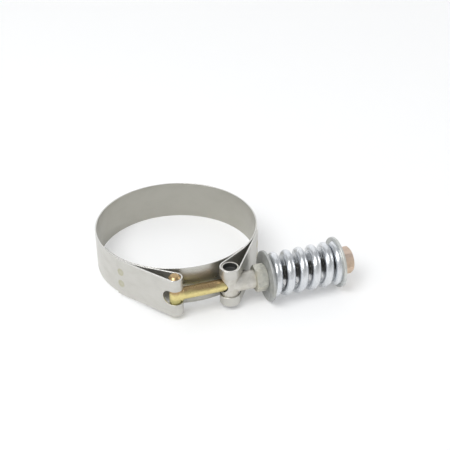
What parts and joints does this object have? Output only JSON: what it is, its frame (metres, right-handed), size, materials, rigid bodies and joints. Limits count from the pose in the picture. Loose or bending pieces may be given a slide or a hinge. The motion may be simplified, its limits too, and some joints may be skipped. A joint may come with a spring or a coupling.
{
  "type": "spring-loaded t-bolt hose clamp",
  "caption": "Spring-loaded T-bolt hose clamp: a flat steel band with looped ends, drawn tight by a T-bolt through a trunnion, with a coil spring under its lock nut.",
  "frame": {"origin": "centre of the ring, at the middle of the band's width", "axes": "+Z along the ring's axis, +X along the bolt from the T-head to the lock nut, the bolt on the -Y side of the ring"},
  "size_m": [0.1096, 0.0918, 0.0236],
  "materials": {
    "stainless_band": "satin rolled stainless strip",
    "stainless_liner": "satin rolled stainless strip",
    "yellow_zinc": "yellow chromated zinc plating",
    "satin_zinc": "dull pale zinc plating",
    "grey_zinc": "grey zinc plating",
    "bright_zinc": "bright zinc plating",
    "copper_zinc": "pinkish chromated zinc plating"
  },
  "bodies": {
    "clamp": {"band": "stainless_band", "liner": "stainless_liner", "t_bolt": "yellow_zinc", "trunnion": "satin_zinc", "hex_collar": "grey_zinc", "inner_washer": "grey_zinc", "spring": "bright_zinc"},
    "outer_washer": {"outer_washer": "grey_zinc"},
    "lock_nut": {"lock_nut": "copper_zinc"}
  },
  "joints": [
    {"name": "washer_slide", "type": "slide", "parent": "clamp", "child": "outer_washer", "axis": [-1, 0, 0], "range_m": [0, 0.0059], "deforming": ["spring"]},
    {"name": "nut_turn", "type": "hinge", "parent": "outer_washer", "child": "lock_nut", "pos_m": [0.0677, -0.0418, 0], "axis": [-1, 0, 0], "range_deg": [0, 2340]}
  ],
  "couplings": [
    {"joint": "nut_turn", "follows": "washer_slide", "rad_per_m": 6926.3}
  ]
}
